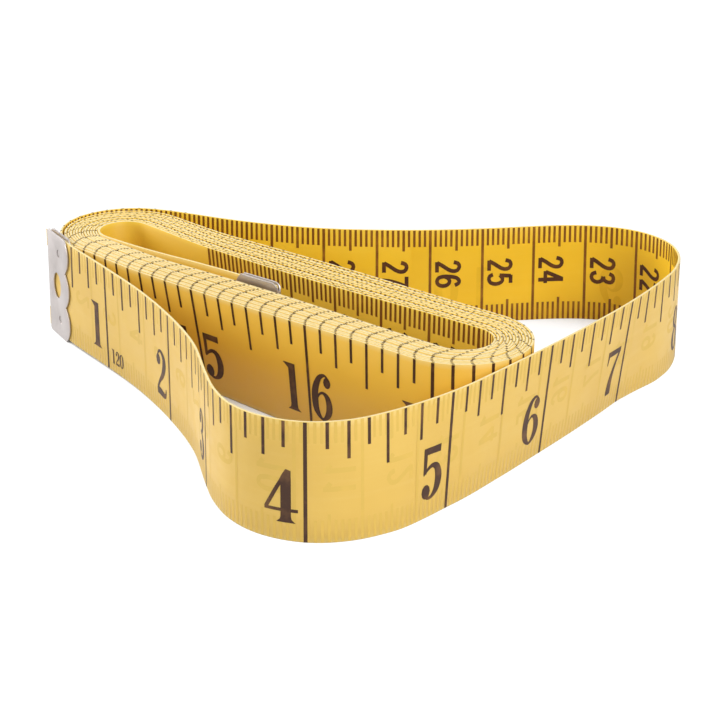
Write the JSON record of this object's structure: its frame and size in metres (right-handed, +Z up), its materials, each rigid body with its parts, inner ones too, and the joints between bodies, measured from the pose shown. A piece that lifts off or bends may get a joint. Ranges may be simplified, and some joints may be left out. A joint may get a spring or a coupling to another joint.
{
  "type": "cloth tape measure",
  "caption": "Flexible tailor's tape measure in coated cloth, loosely wound into an oval coil with one free loop, steel clips on its ends.",
  "frame": {"origin": "on the surface that the tape stands on, under the middle of the whole object", "axes": "+X along the coil's long side, +Y away from the coil towards the far bend of the free loop, +Z up across the tape's width"},
  "size_m": [0.1032, 0.1096, 0.02],
  "materials": {
    "coated_cloth": "satin yellow coating over woven cloth, dark brown print on both sides",
    "clip_steel": "satin plated sheet steel"
  },
  "bodies": {
    "coil": {"tape_coil": "coated_cloth", "inner_end_clip": "clip_steel"},
    "back_run": {"tape_back_run": "coated_cloth"},
    "front_run": {"tape_front_run": "coated_cloth"},
    "end_run": {"tape_end_run": "coated_cloth", "outer_end_clip": "clip_steel"}
  },
  "joints": [
    {"name": "coil_exit", "type": "hinge", "parent": "coil", "child": "back_run", "pos_m": [-0.04323, 0.00462, 0], "axis": [0, 0, 1], "range_deg": [0, 15]},
    {"name": "far_bend", "type": "hinge", "parent": "back_run", "child": "front_run", "pos_m": [0.03847, 0.05363, 0], "axis": [0, 0, 1], "range_deg": [0, 120]},
    {"name": "front_bend", "type": "hinge", "parent": "front_run", "child": "end_run", "pos_m": [0.03645, -0.05419, 0], "axis": [0, 0, 1], "range_deg": [0, 90]}
  ],
  "couplings": [
    {"joint": "coil_exit", "follows": "far_bend", "ratio": 0.125}
  ]
}
